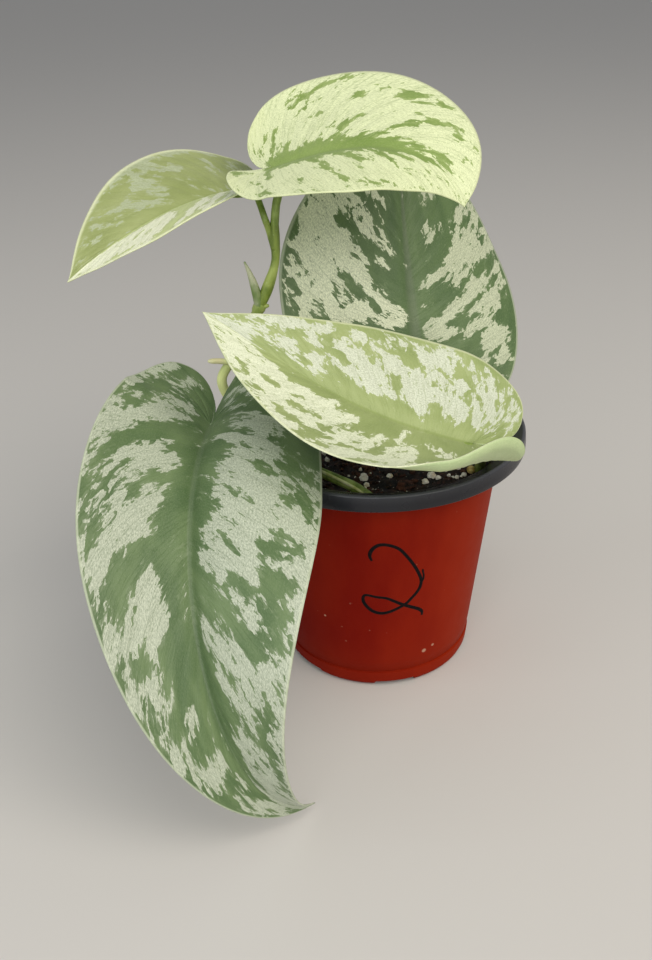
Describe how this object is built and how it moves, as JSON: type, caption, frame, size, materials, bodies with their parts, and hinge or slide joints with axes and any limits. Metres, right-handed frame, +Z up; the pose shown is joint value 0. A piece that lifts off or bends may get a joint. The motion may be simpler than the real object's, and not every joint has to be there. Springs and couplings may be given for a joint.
{
  "type": "potted satin scindapsus",
  "caption": "Young climbing foliage plant with heart-shaped, silver-patterned leaves, rooted in a small tapered nursery pot that stands on its flat base.",
  "frame": {"origin": "middle of the pot's flat underside, on the surface it stands on", "axes": "+Z up, -Y towards the viewer of the picture, +X to the viewer's right"},
  "size_m": [0.1517, 0.1682, 0.2023],
  "materials": {
    "pot_plastic": "matt terracotta-coloured plastic with a dark lip",
    "potting_mix": "dark damp bark and peat mix with pale perlite",
    "vine_green": "smooth green stem",
    "dark_green_leaf": "satin dark green leaf with silver patches",
    "pale_green_leaf": "satin yellow-green leaf with cream-silver patches"
  },
  "bodies": {
    "root": {"pot": "pot_plastic", "soil": "potting_mix", "vine": "vine_green", "leaf_front": "dark_green_leaf", "leaf_back": "dark_green_leaf", "leaf_left": "pale_green_leaf", "leaf_top": "pale_green_leaf", "leaf_right": "pale_green_leaf"}
  },
  "joints": []
}
